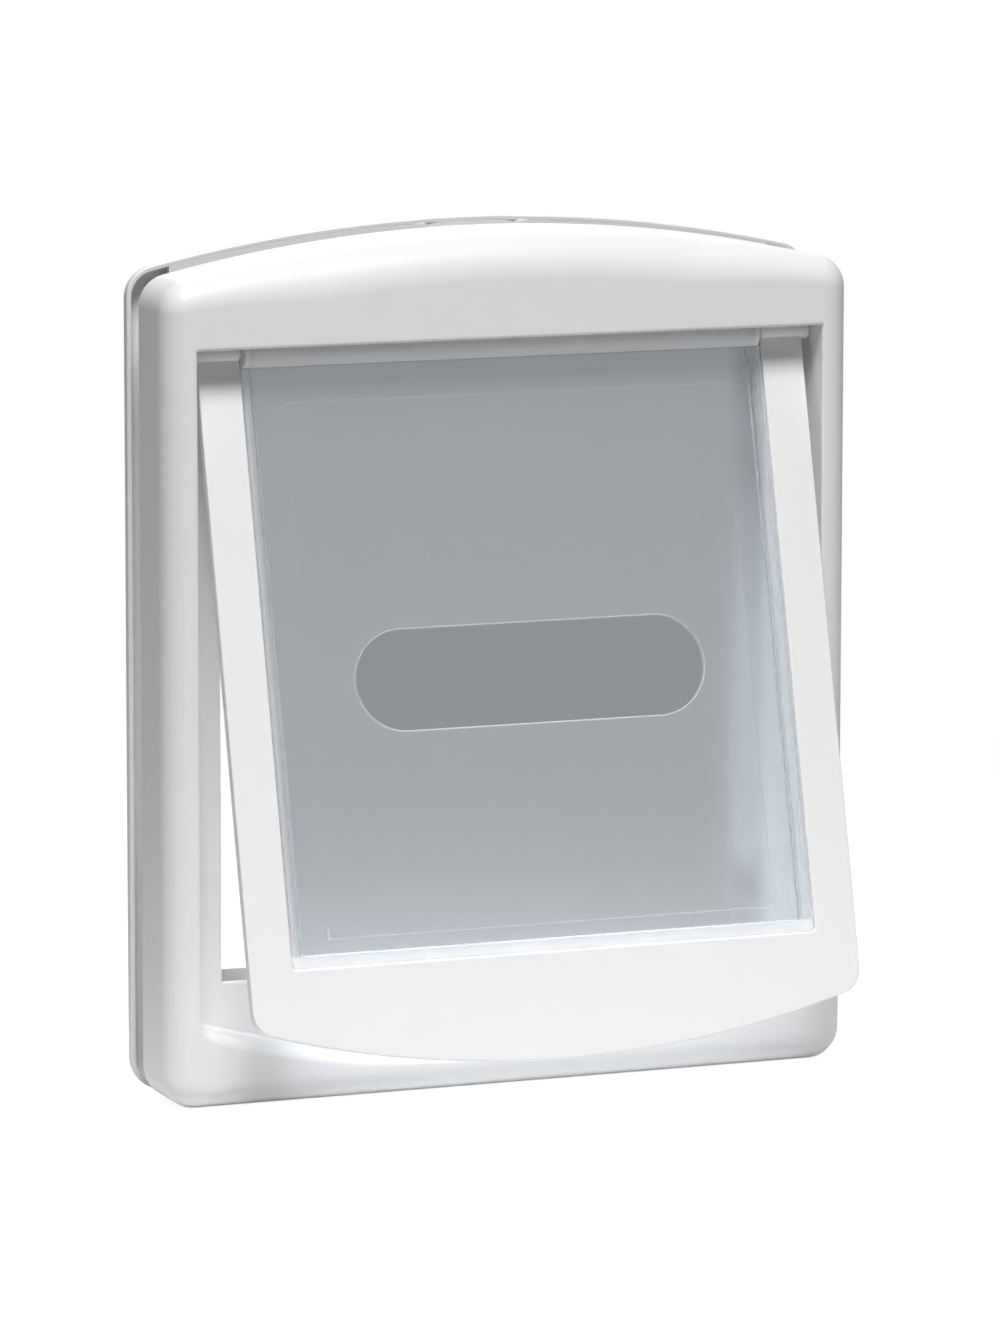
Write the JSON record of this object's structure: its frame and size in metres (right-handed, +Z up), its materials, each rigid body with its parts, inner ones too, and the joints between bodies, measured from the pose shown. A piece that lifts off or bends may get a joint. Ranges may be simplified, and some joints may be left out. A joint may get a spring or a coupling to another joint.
{
  "type": "cat flap",
  "caption": "Two-way cat flap: arched frames that clamp a door, a swinging white surround held shut by magnets, and a clear panel that swings through it.",
  "frame": {"origin": "middle of the base edge of the front frame's rim, on the plane that meets the door", "axes": "+X to the right seen from the front, +Y through the door towards the rear frame, +Z up"},
  "size_m": [0.198, 0.0766, 0.235],
  "materials": {
    "white_frame": "satin white moulded plastic",
    "white_surround": "satin white moulded plastic, a little brighter than the frames",
    "clear_panel": "smoked translucent plastic, finely frosted, with polished rim and badge",
    "steel": "bright zinc",
    "magnet": "dark grey ferrite"
  },
  "bodies": {
    "frame": {"front_frame": "white_frame", "rear_frame": "white_frame", "frame_screws": "steel", "screw_caps": "white_frame", "hinge_pin_left": "steel", "hinge_pin_right": "steel", "pin_clips": "steel", "frame_magnet": "magnet", "frame_magnet_cover": "white_frame"},
    "surround": {"flap_surround": "white_surround", "surround_magnet": "magnet", "surround_magnet_cover": "white_surround"},
    "flap": {"flap_panel": "clear_panel"}
  },
  "joints": [
    {"name": "surround_swing", "type": "hinge", "parent": "frame", "child": "surround", "pos_m": [0, -0.01221, 0.20275], "axis": [-1, 0, 0], "range_deg": [-14.26, 75.7]},
    {"name": "flap_swing", "type": "hinge", "parent": "surround", "child": "flap", "pos_m": [0, -0.01221, 0.20275], "axis": [1, 0, 0], "range_deg": [0, 85]}
  ]
}
